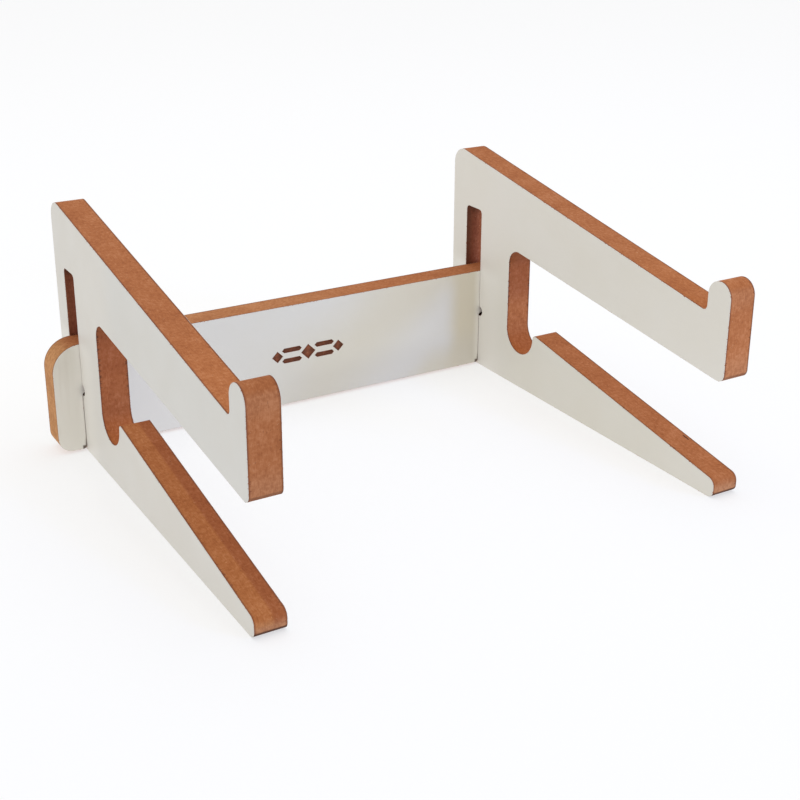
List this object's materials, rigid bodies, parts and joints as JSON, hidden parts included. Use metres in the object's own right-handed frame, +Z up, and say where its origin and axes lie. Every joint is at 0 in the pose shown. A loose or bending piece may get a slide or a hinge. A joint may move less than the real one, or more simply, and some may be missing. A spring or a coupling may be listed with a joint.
{
  "type": "laptop stand",
  "caption": "Flat-pack laptop stand: slotted side boards with a sloping rest and a lip, joined by a cross-lapped crossbar that lifts out.",
  "frame": {"origin": "on the table, under the middle of the stand's overall width and depth", "axes": "+X to the right as the user faces the stand, +Y to the back, +Z up"},
  "size_m": [0.342, 0.279, 0.152],
  "materials": {
    "melamine": "satin warm white melamine paper with a very fine grain",
    "fibreboard": "bare cut edge of dense orange-brown fibreboard, sealed, dull"
  },
  "bodies": {
    "left_side": {"left_side_core": "fibreboard", "left_side_outer_facing": "melamine", "left_side_inner_facing": "melamine"},
    "crossbar": {"crossbar_core": "fibreboard", "crossbar_front_facing": "melamine", "crossbar_back_facing": "melamine"},
    "right_side": {"right_side_core": "fibreboard", "right_side_outer_facing": "melamine", "right_side_inner_facing": "melamine"}
  },
  "joints": [
    {"name": "crossbar_lift", "type": "slide", "parent": "left_side", "child": "crossbar", "axis": [0, 0, 1], "range_m": [0, 0.0415]},
    {"name": "right_side_release", "type": "slide", "parent": "crossbar", "child": "right_side", "axis": [0, 0, -1], "range_m": [0, 0.0415]}
  ],
  "couplings": [
    {"joint": "right_side_release", "follows": "crossbar_lift", "ratio": 1}
  ]
}
